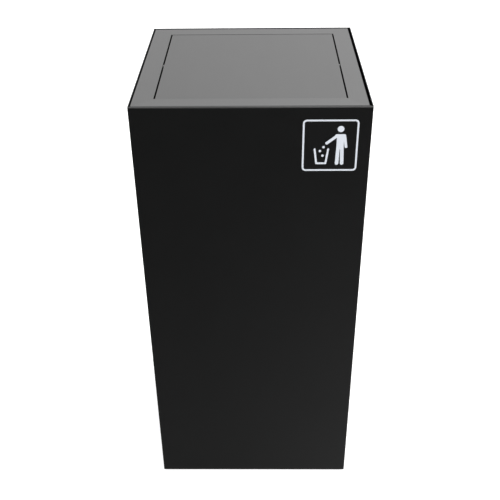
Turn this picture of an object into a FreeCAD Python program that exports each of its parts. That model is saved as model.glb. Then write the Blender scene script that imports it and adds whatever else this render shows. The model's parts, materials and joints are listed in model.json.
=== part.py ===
"""Square steel litter bin with a swing flap in its lift-off top and a lift-out liner.

All sizes are millimetres. The origin is on the floor, under the middle of the casing.
+Z is up, the front with the litter sign faces -Y, and +X is to the right of it.
"""
import FreeCAD, Part
import math
import os
from types import SimpleNamespace

import Sketcher

Vector = FreeCAD.Vector
Rotation = FreeCAD.Rotation
LEFT = -1
RIGHT = 1
SIDES = {"left": LEFT, "right": RIGHT}
ENDS = {"front": -1, "rear": 1}
RIVET_ROWS = 6
DRAWING_WIDTH = 82.4
DRAWING_HEIGHT = 84.2

DRIVING = {
    # outside of the bin
    "bin_width": 350.0,
    "bin_depth": 350.0,
    "bin_height": 760.0,
    "floor_gap": 4.0,
    # folded casing
    "sheet": 1.0,
    "corner_bend": 2.0,
    "return_width": 18.0,
    "hem_depth": 4.0,
    "hem_bend": 1.8,
    "hem_leg": 14.0,
    # rivets that close the back
    "rivet_radius": 2.4,
    "rivet_head_radius": 4.0,
    "rivet_head_height": 1.5,
    "rivet_tail_radius": 3.0,
    "rivet_inset": 9.0,
    "rivet_low": 60.0,
    "rivet_top_inset": 75.0,
    # base and feet
    "pan_sheet": 1.5,
    "pan_height": 20.0,
    "anchor_radius": 5.5,
    "anchor_side_inset": 45.0,
    "anchor_end_inset": 105.0,
    "foot_radius": 17.0,
    "foot_taper": 3.0,
    "foot_inset": 35.0,
    "foot_bore_depth": 8.0,
    "foot_bore_radius": 7.0,
    "foot_screw_radius": 3.0,
    "foot_screw_head_radius": 6.0,
    "foot_screw_head": 3.5,
    "foot_screw_socket": 2.0,
    "nut_radius": 5.77,
    "nut_height": 5.0,
    "screw_tail": 1.5,
    # runners that carry the liner
    "runner_sheet": 1.5,
    "runner_height": 10.5,
    "runner_crown": 30.0,
    "runner_foot": 10.0,
    "runner_inset": 85.0,
    "runner_end_inset": 35.0,
    # ledges and rubber pads that carry the top
    "ledge_sheet": 1.5,
    "ledge_width": 16.0,
    "ledge_leg": 20.0,
    "ledge_length": 60.0,
    "ledge_inset": 55.0,
    "buffer_height": 3.0,
    "buffer_width": 10.0,
    "buffer_length": 30.0,
    "buffer_inset": 4.0,
    # lift-off top
    "top_sheet": 1.2,
    "top_drop": 0.4,
    "top_bend": 1.5,
    "inside_bend": 0.3,
    "top_gap_left": 1.6,
    "top_gap_right": 3.6,
    "top_gap_front": 0.4,
    "top_gap_rear": 1.0,
    "left_bar": 31.3,
    "right_bar": 28.4,
    "front_bar": 27.8,
    "rear_bar": 30.6,
    "skirt": 30.0,
    "skirt_foot": 12.0,
    # swing flap
    "flap_sheet": 1.5,
    "flap_drop": 0.25,
    "flap_side_gap": 2.4,
    "flap_end_gap": 0.6,
    "pivot_offset": 4.9,
    "pivot_drop": 9.0,
    "pin_radius": 3.0,
    "pin_head_radius": 5.0,
    "pin_head": 2.5,
    "pin_tail": 3.0,
    "washer_radius": 8.5,
    "running_gap": 0.05,
    "side_play": 0.2,
    "bush_wall": 1.5,
    "bush_flange": 1.5,
    "bush_flange_radius": 6.0,
    "clip_sheet": 0.8,
    "clip_radius": 5.5,
    "ear_sheet": 1.5,
    "ear_gap": 0.2,
    "ear_depth": 20.0,
    "ear_length": 44.0,
    "ear_leg": 22.0,
    "lug_depth": 16.0,
    "stiffener_leg": 12.0,
    "stiffener_inset": 21.0,
    "stiffener_setback": 36.0,
    "stiffener_sheet": 1.2,
    "hanger_offset": 7.0,
    "hanger_depth": 34.0,
    "hanger_leg": 14.0,
    "weight_side": 16.0,
    "weight_inset": 39.0,
    "weight_screw_radius": 2.5,
    "weight_screw_depth": 12.0,
    "weight_screw_head_radius": 5.0,
    "weight_screw_head": 3.0,
    "weight_screw_inset": 30.0,
    # rest for the back edge of the flap
    "stop_sheet": 1.2,
    "stop_inset": 31.5,
    "stop_reach": 12.0,
    "stop_setback": 2.0,
    "stop_seat": 16.0,
    "bumper_height": 3.0,
    "bumper_length": 24.0,
    "bumper_depth": 7.0,
    "bumper_inset": 25.0,
    # lift-out liner
    "liner_gap": 22.0,
    "liner_headroom": 180.0,
    "liner_sheet": 0.8,
    "liner_bend": 1.0,
    "liner_return": 16.0,
    "tray_corner": 3.0,
    "liner_tray": 10.0,
    "rim_sheet": 1.0,
    "rim_leg": 10.0,
    # drop handles of the liner
    "plate_sheet": 1.2,
    "plate_width": 96.0,
    "plate_height": 16.0,
    "plate_below_rim": 16.0,
    "plate_ear": 11.0,
    "plate_rivet_radius": 2.0,
    "plate_rivet_head": 3.6,
    "plate_rivet_height": 1.2,
    "plate_rivet_spacing": 44.0,
    "wire_radius": 2.5,
    "wire_offset": 7.0,
    "wire_gap": 0.08,
    "wire_tail": 4.0,
    "wire_leg_gap": 1.0,
    "wire_bend": 8.0,
    "loop_depth": 45.0,
    "grip_radius": 7.0,
    "grip_length": 58.0,
    # litter sign
    "sign_width": 80.9,
    "sign_height": 82.2,
    "sign_side": 18.8,
    "sign_top": 19.6,
    "sign_line": 2.6,
    "sign_corner": 6.0,
    "sign_film": 0.2,
}

DOC = FreeCAD.newDocument("LitterBin")


class Size:
    """A length known both as a number and as an expression on the sheet of sizes."""

    def __init__(self, value, text):
        self.value = float(value)
        self.text = text

    def __add__(self, other):
        other = as_size(other)
        return Size(self.value + other.value, f"({self.text} + {other.text})")

    def __sub__(self, other):
        other = as_size(other)
        return Size(self.value - other.value, f"({self.text} - {other.text})")

    def __mul__(self, other):
        other = as_size(other)
        return Size(self.value * other.value, f"({self.text} * {other.text})")

    def __truediv__(self, other):
        other = as_size(other)
        return Size(self.value / other.value, f"({self.text} / {other.text})")

    def __radd__(self, other):
        return as_size(other) + self

    def __rsub__(self, other):
        return as_size(other) - self

    def __rmul__(self, other):
        return as_size(other) * self

    def __neg__(self):
        return Size(-self.value, f"(0 - {self.text})")


def as_size(value):
    """The value itself if it is a Size, or a Size that holds a plain number."""
    if isinstance(value, Size):
        return value
    return Size(value, f"({value})")


def make_sheet():
    """Writes the driving sizes into the spreadsheet and returns them by name."""
    sheet = DOC.addObject("Spreadsheet::Sheet", "Sizes")
    sizes = {}
    for row, (alias, value) in enumerate(DRIVING.items(), start=1):
        sheet.set(f"A{row}", alias.replace("_", " "))
        sheet.set(f"B{row}", str(value))
        sheet.setAlias(f"B{row}", alias)
        sizes[alias] = Size(value, f"Sizes.{alias}")
    DOC.recompute()
    return SimpleNamespace(**sizes)


S = make_sheet()
NODES = {}


# ---------------------------------------------------------------- building blocks

def bind(thing, prop, size):
    """Ties one property of an object to an expression on the sheet."""
    thing.setExpression(prop, as_size(size).text)


def in_order(one, other):
    """The two limits as Sizes, the lower first."""
    one, other = as_size(one), as_size(other)
    if one.value > other.value:
        return other, one
    return one, other


def node(name, thing):
    """Names a finished piece; its Label becomes its file's name."""
    thing.Label = name
    NODES[name] = thing
    return thing


def put(thing, x, y, z, turn=None):
    """Binds where an object stands, with a fixed turn."""
    thing.Placement = FreeCAD.Placement(Vector(), turn or Rotation())
    for axis, size in zip("xyz", (x, y, z)):
        bind(thing, f"Placement.Base.{axis}", size)
    return thing


def block(name, x, y, z):
    """A block between a pair of limits on each axis."""
    solid = DOC.addObject("Part::Box", name)
    lows = []
    for side, limits in zip(("Length", "Width", "Height"), (x, y, z)):
        low, high = in_order(*limits)
        bind(solid, side, high - low)
        lows.append(low)
    return put(solid, *lows)


ALONG = {
    "x": Rotation(Vector(0, 1, 0), 90),
    "y": Rotation(Vector(1, 0, 0), -90),
    "z": Rotation(),
    "-x": Rotation(Vector(0, 1, 0), -90),
    "-y": Rotation(Vector(1, 0, 0), 90),
    "-z": Rotation(Vector(1, 0, 0), 180),
}


def lie_along(thing, x, y, z):
    """Lays a round piece along the axis that is given as a pair of limits."""
    place = {"x": x, "y": y, "z": z}
    axis = next(key for key, value in place.items() if isinstance(value, tuple))
    low, high = in_order(*place[axis])
    place[axis] = low
    bind(thing, "Height", high - low)
    return put(thing, place["x"], place["y"], place["z"], ALONG[axis])


def rod(name, radius, x, y, z):
    """A round bar along the axis that is given as a pair of limits."""
    solid = DOC.addObject("Part::Cylinder", name)
    bind(solid, "Radius", radius)
    return lie_along(solid, x, y, z)


def cone(name, low_radius, high_radius, x, y, z):
    """A tapered round bar along the axis that is given as a pair of limits."""
    solid = DOC.addObject("Part::Cone", name)
    bind(solid, "Radius1", low_radius)
    bind(solid, "Radius2", high_radius)
    return lie_along(solid, x, y, z)


def hexagon(name, radius, x, y, z):
    """A six-sided bar along the axis that is given as a pair of limits."""
    solid = DOC.addObject("Part::Prism", name)
    solid.Polygon = 6
    bind(solid, "Circumradius", radius)
    return lie_along(solid, x, y, z)


def dome(name, radius, height, place, facing):
    """A low round head, flat on the face that it sits on."""
    solid = DOC.addObject("Part::Ellipsoid", name)
    bind(solid, "Radius1", height)
    bind(solid, "Radius2", radius)
    bind(solid, "Radius3", radius)
    solid.Angle1 = 0
    solid.Angle2 = 90
    return put(solid, *place, ALONG[facing])


def fuse(name, *solids):
    """One solid from several."""
    joined = DOC.addObject("Part::MultiFuse", name)
    joined.Shapes = list(solids)
    joined.Refine = True
    return joined


def group(name, solids):
    """Separate solids that share one node."""
    several = DOC.addObject("Part::Compound", name)
    several.Links = list(solids)
    return several


def cut(name, base, *tools):
    """The base with every tool taken out of it."""
    removed = tools[0]
    if len(tools) > 1:
        removed = group(name + "_tools", tools)
    left = DOC.addObject("Part::Cut", name)
    left.Base = base
    left.Tool = removed
    left.Refine = True
    return left


def common(name, one, other):
    """What two solids share."""
    shared = DOC.addObject("Part::Common", name)
    shared.Base = one
    shared.Tool = other
    return shared


def corner(edges, index, first):
    """The corner that ends one edge: edges go across and along by turns."""
    here = edges[index]
    after = edges[(index + 1) % len(edges)]
    if (index % 2 == 0) == (first == "across"):
        return Vector(here.value, after.value, 0)
    return Vector(after.value, here.value, 0)


def draw_square_turns(sketch, edges, bends, first="across", ends=None):
    """Draws straight edges that turn square, with a round bend where one is given.

    An edge that goes across stands at its distance from the sketch's upright axis, and
    one that goes along stands at its height. A path with ends is left open.
    """
    edges = [as_size(edge) for edge in edges]
    bends = {index: as_size(radius) for index, radius in (bends or {}).items()}
    count = len(edges)
    corners = [corner(edges, index, first) for index in range(count)]
    starts = [corners[index - 1] for index in range(count)]
    if ends:
        ends = [as_size(end) for end in ends]
        along = (first != "across")
        starts[0] = Vector(ends[0].value, edges[0].value, 0) if along else \
            Vector(edges[0].value, ends[0].value, 0)
        corners[-1] = Vector(ends[1].value, edges[-1].value, 0) if along else \
            Vector(edges[-1].value, ends[1].value, 0)
    ways = [(stop - start).normalize() for start, stop in zip(starts, corners)]
    lines = []
    for index in range(count):
        before = (index - 1) % count
        start = starts[index]
        stop = corners[index]
        if before in bends and not (ends and index == 0):
            start = start + ways[index] * bends[before].value
        if index in bends:
            stop = stop - ways[index] * bends[index].value
        line = sketch.addGeometry(Part.LineSegment(start, stop), False)
        lines.append(line)
        across = (index % 2 == 0) == (first == "across")
        sketch.addConstraint(Sketcher.Constraint("Vertical" if across else "Horizontal", line))
        hold(sketch, "DistanceX" if across else "DistanceY", (line, 1), edges[index])
    if ends:
        kind = "DistanceY" if first == "across" else "DistanceX"
        hold(sketch, kind, (lines[0], 1), ends[0])
        hold(sketch, kind, (lines[-1], 2), ends[1])
    for index in range(count - 1 if ends else count):
        after = (index + 1) % count
        if index not in bends:
            sketch.addConstraint(
                Sketcher.Constraint("Coincident", lines[index], 2, lines[after], 1))
            continue
        round_corner(sketch, corners[index], ways[index], ways[after], bends[index],
                     lines[index], lines[after])


def hold(sketch, kind, point, size):
    """Fixes a point's distance from the sketch's origin, bound to the sheet."""
    index = sketch.addConstraint(
        Sketcher.Constraint(kind, -1, 1, point[0], point[1], size.value))
    sketch.setExpression(f"Constraints[{index}]", size.text)


def round_corner(sketch, tip, way_in, way_out, radius, line_in, line_out):
    """Joins two edges with a tangent arc."""
    turns_left = way_in.cross(way_out).z > 0
    centre = tip - way_in * radius.value + way_out * radius.value
    arc_start = tip - way_in * radius.value if turns_left else tip + way_out * radius.value
    out = arc_start - centre
    angle = math.atan2(out.y, out.x)
    circle = Part.Circle(centre, Vector(0, 0, 1), radius.value)
    arc = sketch.addGeometry(Part.ArcOfCircle(circle, angle, angle + math.pi / 2), False)
    near, far = (1, 2) if turns_left else (2, 1)
    sketch.addConstraint(Sketcher.Constraint("Tangent", line_in, 2, arc, near))
    sketch.addConstraint(Sketcher.Constraint("Tangent", line_out, 1, arc, far))
    index = sketch.addConstraint(Sketcher.Constraint("Radius", arc, radius.value))
    sketch.setExpression(f"Constraints[{index}]", radius.text)


def new_sketch(body, name, plane, offset):
    """An empty sketch on one of the body's own planes, moved out along its normal."""
    sketch = body.newObject("Sketcher::SketchObject", name)
    planes = [item for item in body.Origin.OriginFeatures if item.Role == plane + "_Plane"]
    sketch.AttachmentSupport = [(planes[0], "")]
    sketch.MapMode = "FlatFace"
    bind(sketch, "AttachmentOffset.Base.z", offset)
    return sketch


def folded(name, plane, span, *loops):
    """A profile of square turns and bends, padded over its span.

    Each loop is its edges and its bends. The XZ plane's normal is -Y, so a profile on it
    starts at the far limit of its span.
    """
    low, high = in_order(*span)
    body = DOC.addObject("PartDesign::Body", name)
    offset = -high if plane == "XZ" else low
    sketch = new_sketch(body, name + "_profile", plane, offset)
    for edges, bends in loops:
        draw_square_turns(sketch, edges, bends)
    pad = body.newObject("PartDesign::Pad", name + "_pad")
    pad.Profile = sketch
    bind(pad, "Length", high - low)
    body.Tip = pad
    return body


def all_corners(radius):
    """The same bend at each corner of a four-sided loop."""
    return {index: radius for index in range(4)}


def rectangle(half_width, half_depth, radius=None):
    """A loop about the middle: a rectangle with round corners."""
    edges = [-half_width, -half_depth, half_width, half_depth]
    return edges, all_corners(radius) if radius is not None else {}


# ---------------------------------------------------------------- places worked out

half_width = S.bin_width / 2
half_depth = S.bin_depth / 2
front_face = -half_depth
rear_face = half_depth
wall_x = half_width - S.sheet
pan_top = S.pan_height + S.pan_sheet
liner_floor_z = pan_top + S.runner_height

top_z = S.bin_height - S.top_drop
top_under = top_z - S.top_sheet
top_left = S.top_gap_left - wall_x
top_right = wall_x - S.top_gap_right
top_front = front_face + S.hem_depth + S.top_gap_front
top_rear = rear_face - S.sheet * 2 - S.top_gap_rear
top_foot_z = top_z - S.skirt
opening_left = top_left + S.left_bar
opening_right = top_right - S.right_bar
flap_mid = (opening_left + opening_right) / 2
half_opening = (opening_right - opening_left) / 2
opening_front = top_front + S.front_bar
opening_rear = top_rear - S.rear_bar

flap_top = top_z - S.flap_drop
flap_under = flap_top - S.flap_sheet
half_flap = half_opening - S.flap_side_gap
flap_front = opening_front + S.flap_end_gap
flap_rear = opening_rear - S.flap_end_gap
pivot_y = (flap_front + flap_rear) / 2 - S.pivot_offset
pivot_z = top_z - S.pivot_drop

ledge_z = top_foot_z - S.buffer_height

half_liner = wall_x - S.liner_gap
half_liner_depth = half_depth - S.sheet - S.liner_gap
liner_rim_z = S.bin_height - S.liner_headroom
liner_inside = half_liner - S.liner_sheet
liner_inside_depth = half_liner_depth - S.liner_sheet * 2
wire_x = liner_inside - S.plate_sheet - S.wire_offset
plate_low = liner_rim_z - S.plate_below_rim - S.plate_height
wire_z = plate_low + S.plate_height / 2
grip_z = wire_z - S.loop_depth


# ---------------------------------------------------------------- casing

def make_casing_wrap():
    """The front and both sides from one sheet, turned in at the back, hemmed in front."""
    returned = rear_face - S.sheet
    inner = returned - S.sheet
    tip = half_width - S.return_width
    inner_bend = S.corner_bend - S.sheet
    edges = [-half_width, front_face, half_width, returned, tip, inner,
             wall_x, front_face + S.sheet, -wall_x, inner, -tip, returned]
    bends = {index: S.corner_bend for index in (0, 1, 2, 11)}
    bends.update({index: inner_bend for index in (5, 6, 7, 8)})
    walls = folded("wrap_walls", "XY", (S.floor_gap, S.bin_height), (edges, bends))

    straight = half_width - S.corner_bend
    hem_base = S.bin_height - S.hem_bend - S.sheet
    notch = block("hem_notch", (-straight, straight),
                  (front_face - S.sheet, front_face + S.hem_depth), (hem_base, S.bin_height + S.sheet))
    hem_back = front_face + S.hem_depth
    hem_edges = [front_face, S.bin_height, hem_back, S.bin_height - S.hem_leg,
                 hem_back - S.sheet, S.bin_height - S.sheet, front_face + S.sheet, hem_base]
    hem_inner = S.hem_bend - S.sheet
    hem_bends = {0: S.hem_bend, 1: S.hem_bend, 4: hem_inner, 5: hem_inner}
    hem = folded("front_hem", "YZ", (-straight, straight), (hem_edges, hem_bends))
    node("casing_wrap", fuse("casing_wrap", cut("notched_walls", walls, notch), hem))


def rivet_places():
    """Where the rivets of the back panel go, in both columns."""
    across = half_width - S.rivet_inset
    pitch = (S.bin_height - S.rivet_top_inset - S.rivet_low) / (RIVET_ROWS - 1)
    for side in SIDES.values():
        for step in range(RIVET_ROWS):
            yield across * side, S.rivet_low + pitch * step


def make_rear_panel():
    """The flat back sheet over the turned-in edges, with its rivets."""
    panel_front = rear_face - S.sheet
    panel = block("rear_sheet", (-half_width, half_width), (panel_front, rear_face),
                  (S.floor_gap, S.bin_height))
    holes = []
    rivets = []
    for index, (x, z) in enumerate(rivet_places()):
        holes.append(rod(f"rear_hole_{index}", S.rivet_radius, x, (panel_front, rear_face), z))
        shank = rod(f"rear_shank_{index}", S.rivet_radius, x, (rear_face - S.sheet * 2, rear_face), z)
        head = dome(f"rear_head_{index}", S.rivet_head_radius, S.rivet_head_height,
                    (x, rear_face, z), "y")
        tail = rod(f"rear_tail_{index}", S.rivet_tail_radius, x,
                   (rear_face - S.sheet * 3, rear_face - S.sheet * 2), z)
        rivets.append(fuse(f"rear_rivet_{index}", shank, head, tail))
    node("rear_panel", cut("rear_panel", panel, *holes))
    node("rear_rivets", group("rear_rivets", rivets))
    wrap = NODES["casing_wrap"]
    wrap_holes = [rod(f"wrap_hole_{index}", S.rivet_radius, x,
                      (rear_face - S.sheet * 2, panel_front), z)
                  for index, (x, z) in enumerate(rivet_places())]
    wrap.Label = "undrilled_wrap"
    node("casing_wrap", cut("drilled_wrap", wrap, *wrap_holes))


def foot_places():
    """The middle of each foot, by name."""
    for end_name, end in ENDS.items():
        for side_name, side in SIDES.items():
            yield (f"{end_name}_{side_name}", (half_width - S.foot_inset) * side,
                   (half_depth - S.foot_inset) * end)


def make_base():
    """The pan under the casing, with anchor holes, feet, their screws and nuts."""
    outer_x = wall_x
    outer_front = front_face + S.sheet
    outer_rear = rear_face - S.sheet * 2
    outline = [-outer_x, outer_front, outer_x, outer_rear]
    skin = folded("pan_skin", "XY", (S.floor_gap, pan_top),
                  (outline, all_corners(S.corner_bend - S.sheet)))
    hollow = block("pan_hollow", (S.pan_sheet - outer_x, outer_x - S.pan_sheet),
                   (outer_front + S.pan_sheet, outer_rear - S.pan_sheet),
                   (S.floor_gap, S.pan_height))
    holes = []
    for side_name, side in SIDES.items():
        for end_name, end in ENDS.items():
            holes.append(rod(f"anchor_{side_name}_{end_name}", S.anchor_radius,
                             (half_width - S.anchor_side_inset) * side,
                             (half_depth - S.anchor_end_inset) * end, (S.pan_height, pan_top)))
    screws = []
    nuts = []
    for name, x, y in foot_places():
        holes.append(rod(f"screw_hole_{name}", S.foot_screw_radius, x, y, (S.pan_height, pan_top)))
        make_foot(name, x, y)
        screws.append(foot_screw(name, x, y))
        shell = hexagon(f"nut_hex_{name}", S.nut_radius, x, y, (pan_top, pan_top + S.nut_height))
        bore = rod(f"nut_bore_{name}", S.foot_screw_radius, x, y, (pan_top, pan_top + S.nut_height))
        nuts.append(cut(f"nut_{name}", shell, bore))
    node("base_pan", cut("base_pan", skin, hollow, *holes))
    node("foot_screws", group("foot_screws", screws))
    node("foot_nuts", group("foot_nuts", nuts))


def make_foot(name, x, y):
    """One rubber foot, wider at its top, with a counterbore for its screw."""
    shell = cone(f"foot_cone_{name}", S.foot_radius, S.foot_radius + S.foot_taper, x, y,
                 (0, S.pan_height))
    bore = rod(f"foot_bore_{name}", S.foot_bore_radius, x, y, (0, S.foot_bore_depth))
    hole = rod(f"foot_hole_{name}", S.foot_screw_radius, x, y, (S.foot_bore_depth, S.pan_height))
    recess = fuse(f"foot_recess_{name}", bore, hole)
    node(f"rubber_foot_{name}", cut(f"foot_{name}", shell, recess))


def foot_screw(name, x, y):
    """A socket screw up through the foot, the pan and the nut."""
    tail = pan_top + S.nut_height + S.screw_tail
    shank = rod(f"screw_shank_{name}", S.foot_screw_radius, x, y, (S.foot_bore_depth, tail))
    head = rod(f"screw_head_{name}", S.foot_screw_head_radius, x, y,
               (S.foot_bore_depth - S.foot_screw_head, S.foot_bore_depth))
    under = S.foot_bore_depth - S.foot_screw_head
    socket = hexagon(f"screw_socket_{name}", S.foot_screw_radius, x, y,
                     (under, under + S.foot_screw_socket))
    return cut(f"foot_screw_{name}", fuse(f"screw_{name}", shank, head), socket)


def make_runners():
    """Two top-hat runners on the pan that hold the liner off it."""
    for name, side in SIDES.items():
        mid = (half_width - S.runner_inset) * side
        crown = S.runner_crown / 2
        wide = crown + S.runner_foot
        inside = crown - S.runner_sheet
        flange = pan_top + S.runner_sheet
        edges = [mid - wide, flange, mid - crown, liner_floor_z, mid + crown, flange,
                 mid + wide, pan_top, mid + inside, liner_floor_z - S.runner_sheet,
                 mid - inside, pan_top]
        half = half_depth - S.runner_end_inset
        node(f"base_runner_{name}", folded(f"runner_{name}", "XZ", (-half, half), (edges, {})))


def make_ledges():
    """Four angles on the side walls, each with a rubber pad that the top rests on."""
    pads = []
    for side_name, side in SIDES.items():
        for end_name, end in ENDS.items():
            name = f"{side_name}_{end_name}"
            mid = (half_depth - S.ledge_inset) * end
            outer = wall_x * side
            tip = (wall_x - S.ledge_width) * side
            edges = [outer, ledge_z, tip, ledge_z - S.ledge_sheet,
                     (wall_x - S.ledge_sheet) * side, ledge_z - S.ledge_leg]
            half = S.ledge_length / 2
            node(f"lid_ledge_{name}",
                 folded(f"ledge_{name}", "XZ", (mid - half, mid + half), (edges, {0: S.inside_bend})))
            near = (wall_x - S.buffer_inset) * side
            far = (wall_x - S.buffer_inset - S.buffer_width) * side
            pads.append(block(f"pad_{name}", (near, far),
                              (mid - S.buffer_length / 2, mid + S.buffer_length / 2),
                              (ledge_z, top_foot_z)))
    node("lid_buffers", group("lid_buffers", pads))


# ---------------------------------------------------------------- litter sign

def make_sign():
    """A framed litter sign in white film on the front, near its top right corner."""
    right = half_width - S.sign_side
    left = right - S.sign_width
    high = S.bin_height - S.sign_top
    low = high - S.sign_height
    inner_corner = S.sign_corner - S.sign_line
    outside = [left, low, right, high]
    inside = [left + S.sign_line, low + S.sign_line, right - S.sign_line, high - S.sign_line]
    node("sign_frame", folded("sign_border", "XZ", (front_face - S.sign_film, front_face),
                              (outside, all_corners(S.sign_corner)),
                              (inside, all_corners(inner_corner))))
    make_figure(left.value, high.value)


def stroke(start, stop, radius, place):
    """A bar of film with round ends between two points of the sign."""
    one = place(start)
    other = place(stop)
    along = (other - one).normalize()
    side = along.cross(Vector(0, 1, 0)) * radius
    ends = [one + side, other + side, other - side, one - side]
    film = Vector(0, S.sign_film.value, 0)
    bar = Part.Face(Part.makePolygon(ends + ends[:1])).extrude(film)
    for centre in (one, other):
        bar = bar.fuse(Part.makeCylinder(radius, S.sign_film.value, centre, Vector(0, 1, 0)))
    return bar.removeSplitter()


def make_figure(left, high):
    """A person who drops litter into a basket: plain strokes, a round head and dots."""
    scale_x = S.sign_width.value / DRAWING_WIDTH
    scale_z = S.sign_height.value / DRAWING_HEIGHT

    def place(point):
        """A point of the drawing, measured from the frame's top left corner."""
        return Vector(left + point[0] * scale_x, front_face.value - S.sign_film.value,
                      high - point[1] * scale_z)

    limbs = [
        ((56.0, 29.4), (56.0, 43.0), 5.3),
        ((50.6, 26.2), (61.4, 26.2), 2.7),
        ((50.2, 26.8), (36.0, 38.0), 2.1),
        ((62.2, 26.6), (64.8, 44.0), 2.0),
        ((53.2, 44.0), (52.2, 71.4), 2.6),
        ((58.8, 44.0), (59.8, 71.4), 2.6),
    ]
    body = stroke(*limbs[0], place)
    for limb in limbs[1:]:
        body = body.fuse(stroke(*limb, place))
    basket_line, head_radius, dot_radius = 1.4, 4.8, 1.9
    basket = stroke((18.4, 48.0), (21.6, 71.4), basket_line, place)
    for start, stop in (((21.6, 71.4), (35.4, 71.4)), ((35.4, 71.4), (38.6, 48.0))):
        basket = basket.fuse(stroke(start, stop, basket_line, place))
    film = S.sign_film.value
    head = Part.makeCylinder(head_radius, film, place((56.0, 15.2)), Vector(0, 1, 0))
    dots = [Part.makeCylinder(dot_radius, film, place(point), Vector(0, 1, 0))
            for point in ((31.6, 44.6), (26.4, 51.0), (30.6, 58.6))]
    figure = DOC.addObject("Part::Feature", "figure")
    figure.Shape = Part.makeCompound([body.removeSplitter(), basket.removeSplitter(), head] + dots)
    node("sign_figure", figure)


# ---------------------------------------------------------------- lift-off top

def bar_edges(outer, inner, way):
    """The profile of a bar of the top: a flat, a skirt and the foot that it rests on."""
    return [outer, top_z, inner, top_under, outer - S.top_sheet * way, top_foot_z + S.top_sheet,
            outer - S.skirt_foot * way, top_foot_z]


def mitre(name, ends_low, ends_high, across, height, turn):
    """A wedge that trims both ends of a bar: its local Y goes across the bar."""
    wedge = DOC.addObject("Part::Wedge", name)
    limits = {"Xmin": ends_low[0], "Xmax": ends_low[1], "X2min": ends_high[0], "X2max": ends_high[1],
              "Ymin": across[0], "Ymax": across[1], "Zmin": height[0], "Zmax": height[1],
              "Z2min": height[0], "Z2max": height[1]}
    for prop, size in limits.items():
        setattr(wedge, prop, as_size(size).value)
        bind(wedge, prop, size)
    wedge.Placement = FreeCAD.Placement(Vector(), Rotation(Vector(0, 0, 1), turn))
    return wedge


def mitred_frame(name, outside, inside, height, profile, bends):
    """Four folded bars that meet in mitres, between an outer and an inner rectangle.

    Each rectangle is its left, front, right and rear limits. The profile is a function of
    the bar's outer and inner limits and of the way out.
    """
    left, front, right, rear = outside
    in_left, in_front, in_right, in_rear = inside
    width, gap = (left, right), (in_left, in_right)
    depth, hole = (front, rear), (in_front, in_rear)
    depth_back, hole_back = (-rear, -front), (-in_rear, -in_front)
    bars = {
        "front": ("YZ", width, profile(front, in_front, -1), (width, gap, (front, in_front)), 0),
        "rear": ("YZ", width, profile(rear, in_rear, 1), (gap, width, (in_rear, rear)), 0),
        "left": ("XZ", depth, profile(left, in_left, -1), (hole, depth, (-in_left, -left)), 90),
        "right": ("XZ", depth, profile(right, in_right, 1),
                  (hole_back, depth_back, (in_right, right)), -90),
    }
    for side, (plane, span, edges, limits, turn) in bars.items():
        bar = folded(f"{name}_run_{side}", plane, span, (edges, bends))
        wedge = mitre(f"{name}_mitre_{side}", *limits, height, turn)
        node(f"{name}_{side}", common(f"{name}_cut_{side}", bar, wedge))


def make_top():
    """Four folded bars, mitred and welded into the frame round the flap."""
    bends = {0: S.top_bend, 3: S.inside_bend, 4: S.inside_bend, 7: S.top_bend}
    outside = (top_left, top_front, top_right, top_rear)
    inside = (opening_left, opening_front, opening_right, opening_rear)
    mitred_frame("top_bar", outside, inside, (top_foot_z, top_z), bar_edges, bends)


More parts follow.
